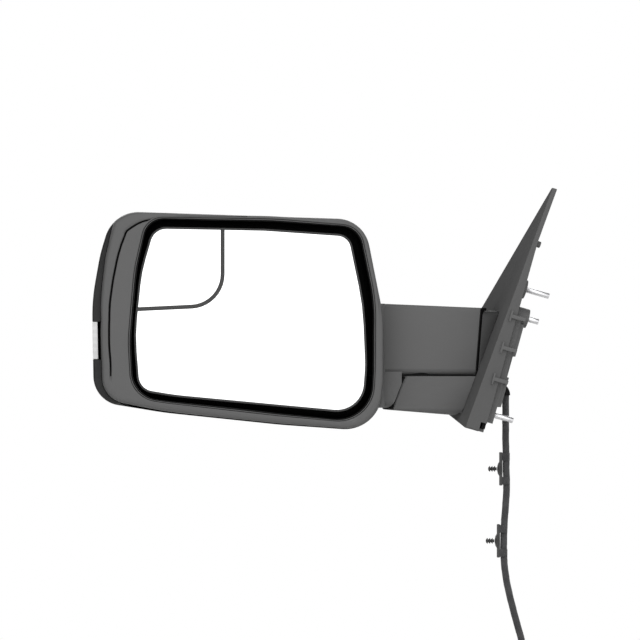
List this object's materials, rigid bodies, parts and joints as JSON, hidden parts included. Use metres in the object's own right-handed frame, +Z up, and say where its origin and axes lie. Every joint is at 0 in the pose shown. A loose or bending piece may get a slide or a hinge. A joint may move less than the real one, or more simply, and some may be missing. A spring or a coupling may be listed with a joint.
{
  "type": "car side mirror",
  "caption": "Folding side mirror with a power glass, spotter glass, side lamp, sail plate and hanging harness.",
  "frame": {"origin": "centre of the door face, on the plane where the base gasket rests on the door", "axes": "+X inboard towards the car, +Y forward, +Z up; the glass faces -Y"},
  "size_m": [0.4858, 0.1976, 0.5901],
  "materials": {
    "dark_plastic": "fine grained moulded plastic, near black",
    "grey_plastic": "fine grained moulded plastic, dark grey",
    "black_plastic": "plain black moulded plastic",
    "cast_alloy": "die-cast, coated dark grey",
    "seal_rubber": "soft black rubber",
    "zinc_steel": "bright zinc plate",
    "plain_steel": "turned steel",
    "spring_steel": "phosphated spring wire",
    "taped_harness": "black cloth tape over wires",
    "lens": "clear moulded lens over a pale reflector",
    "board": "green lacquered circuit board",
    "acetal": "natural acetal",
    "heater_film": "amber heater film",
    "silvered_glass": "silvered glass"
  },
  "bodies": {
    "door_base": {"sail_cover": "grey_plastic", "base_bracket": "cast_alloy", "door_gasket": "seal_rubber", "foot_cover": "grey_plastic", "base_fairing": "grey_plastic", "cover_snaps": "grey_plastic", "mounting_studs": "zinc_steel", "locating_peg": "grey_plastic", "base_screws": "zinc_steel", "pivot_post": "plain_steel", "lower_detent_ring": "plain_steel", "fold_spring": "spring_steel", "spring_seat": "zinc_steel", "post_nut": "zinc_steel", "base_harness": "taped_harness", "harness_boot": "seal_rubber", "harness_cable": "taped_harness", "harness_coil": "taped_harness", "coil_tie": "black_plastic", "upper_harness_clip": "black_plastic", "lower_harness_clip": "black_plastic", "harness_connector": "black_plastic"},
    "head": {"head_frame": "cast_alloy", "arm_cover": "grey_plastic", "upper_detent_ring": "plain_steel", "bezel": "grey_plastic", "liner": "black_plastic", "front_cap": "dark_plastic", "signal_lens": "lens", "signal_housing": "black_plastic", "signal_board": "board", "actuator_body": "black_plastic", "actuator_cover": "black_plastic", "tilt_motor": "plain_steel", "pan_motor": "plain_steel", "ball_stud": "plain_steel", "head_harness": "taped_harness", "frame_screws": "zinc_steel"},
    "tilt_gear": {"tilt_nut_gear": "acetal"},
    "pan_gear": {"pan_nut_gear": "acetal"},
    "tilt_jack": {"tilt_jack_screw": "acetal"},
    "pan_jack": {"pan_jack_screw": "acetal"},
    "gimbal": {"gimbal_ring": "acetal"},
    "glass": {"glass_carrier": "black_plastic", "heater_pad": "heater_film", "glass_rim": "black_plastic", "main_glass": "silvered_glass", "spotter_glass": "silvered_glass"}
  },
  "joints": [
    {"name": "fold", "type": "hinge", "parent": "door_base", "child": "head", "pos_m": [-0.076, 0, 0], "axis": [0, 0, 1], "range_deg": [-55, 65]},
    {"name": "glass_pan", "type": "hinge", "parent": "head", "child": "gimbal", "pos_m": [-0.255, -0.044, 0.045], "axis": [0, 0, 1], "range_deg": [-8, 8]},
    {"name": "glass_tilt", "type": "hinge", "parent": "gimbal", "child": "glass", "pos_m": [-0.255, -0.044, 0.045], "axis": [1, 0, 0], "range_deg": [-8, 8]},
    {"name": "tilt_jack_travel", "type": "slide", "parent": "head", "child": "tilt_jack", "axis": [0, 1, 0], "range_m": [-0.0038, 0.0038]},
    {"name": "pan_jack_travel", "type": "slide", "parent": "head", "child": "pan_jack", "axis": [0, 1, 0], "range_m": [-0.0038, 0.0038]},
    {"name": "tilt_gear_spin", "type": "hinge", "parent": "head", "child": "tilt_gear", "pos_m": [-0.255, -0.03, 0.019], "axis": [0, 1, 0], "range_deg": [-225, 225]},
    {"name": "pan_gear_spin", "type": "hinge", "parent": "head", "child": "pan_gear", "pos_m": [-0.229, -0.03, 0.045], "axis": [0, 1, 0], "range_deg": [-225, 225]}
  ],
  "couplings": [
    {"joint": "tilt_jack_travel", "follows": "glass_tilt", "m_per_rad": 0.026},
    {"joint": "pan_jack_travel", "follows": "glass_pan", "m_per_rad": 0.026},
    {"joint": "tilt_gear_spin", "follows": "glass_tilt", "ratio": 27.227},
    {"joint": "pan_gear_spin", "follows": "glass_pan", "ratio": 27.227}
  ]
}
